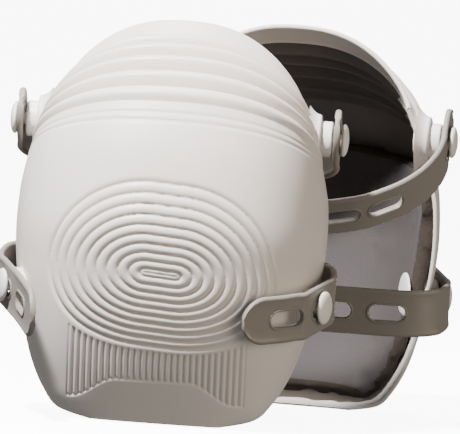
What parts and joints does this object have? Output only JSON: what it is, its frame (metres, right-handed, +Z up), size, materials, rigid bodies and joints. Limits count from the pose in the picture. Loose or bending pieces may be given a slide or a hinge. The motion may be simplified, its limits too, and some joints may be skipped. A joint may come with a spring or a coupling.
{
  "type": "knee pads",
  "caption": "Pair of moulded knee pads with a ringed, ribbed cup, bellows and thigh cuff, foam liner and slotted rubber straps held by mushroom studs.",
  "frame": {"origin": "centre of the pair's bounding box, at floor height", "axes": "+Z up the leg, -Y towards the front of the front pad, the rear pad's opening faces -Y"},
  "size_m": [0.2852, 0.3183, 0.243],
  "materials": {
    "shell": "satin",
    "strap": "satin",
    "stud": "semi-gloss",
    "liner_foam": "rough foam",
    "liner_facing": "matt"
  },
  "bodies": {
    "front_pad": {"front_shell": "shell", "front_bellows": "shell", "front_foam_liner": "liner_foam", "front_liner_facing": "liner_facing", "front_ears": "shell", "front_upper_studs": "stud", "front_lower_studs": "stud", "front_upper_washers": "stud", "front_lower_washers": "stud"},
    "front_thigh_cuff": {"front_thigh_cuff": "shell"},
    "front_upper_strap": {"front_upper_strap": "strap"},
    "front_lower_strap": {"front_lower_strap": "strap"},
    "rear_pad": {"rear_shell": "shell", "rear_bellows": "shell", "rear_foam_liner": "liner_foam", "rear_liner_facing": "liner_facing", "rear_ears": "shell", "rear_upper_studs": "stud", "rear_lower_studs": "stud", "rear_upper_washers": "stud", "rear_lower_washers": "stud"},
    "rear_thigh_cuff": {"rear_thigh_cuff": "shell"},
    "rear_upper_strap": {"rear_upper_strap": "strap"},
    "rear_lower_strap": {"rear_lower_strap": "strap"}
  },
  "joints": [
    {"name": "front_thigh_flex", "type": "hinge", "parent": "front_pad", "child": "front_thigh_cuff", "pos_m": [-0.03608, -0.03791, 0.182], "axis": [0.9986, -0.0523, 0], "range_deg": [-6, 12], "stiffness_Nm_per_rad": 0.3, "deforming": ["front_bellows"]},
    {"name": "front_upper_strap_swing", "type": "hinge", "parent": "front_pad", "child": "front_upper_strap", "pos_m": [-0.0365, -0.0459, 0.177], "axis": [0.9986, -0.0523, 0], "range_deg": [-4, 20]},
    {"name": "front_lower_strap_swing", "type": "hinge", "parent": "front_pad", "child": "front_lower_strap", "pos_m": [-0.03914, -0.09625, 0.077], "axis": [0.9986, -0.0523, 0], "range_deg": [-3, 1.5]},
    {"name": "rear_thigh_flex", "type": "hinge", "parent": "rear_pad", "child": "rear_thigh_cuff", "pos_m": [0.03239, 0.04418, 0.182], "axis": [-0.9903, 0.1392, 0], "range_deg": [-6, 12], "stiffness_Nm_per_rad": 0.3, "deforming": ["rear_bellows"]},
    {"name": "rear_upper_strap_swing", "type": "hinge", "parent": "rear_pad", "child": "rear_upper_strap", "pos_m": [0.0335, 0.0521, 0.177], "axis": [-0.9903, 0.1392, 0], "range_deg": [-4, 8]},
    {"name": "rear_lower_strap_swing", "type": "hinge", "parent": "rear_pad", "child": "rear_lower_strap", "pos_m": [0.04052, 0.10203, 0.077], "axis": [-0.9903, 0.1392, 0], "range_deg": [-3, 3]},
    {"name": "pads_apart", "type": "slide", "parent": "front_pad", "child": "rear_pad", "axis": [0, 1, 0], "range_m": [0, 0.2]}
  ]
}
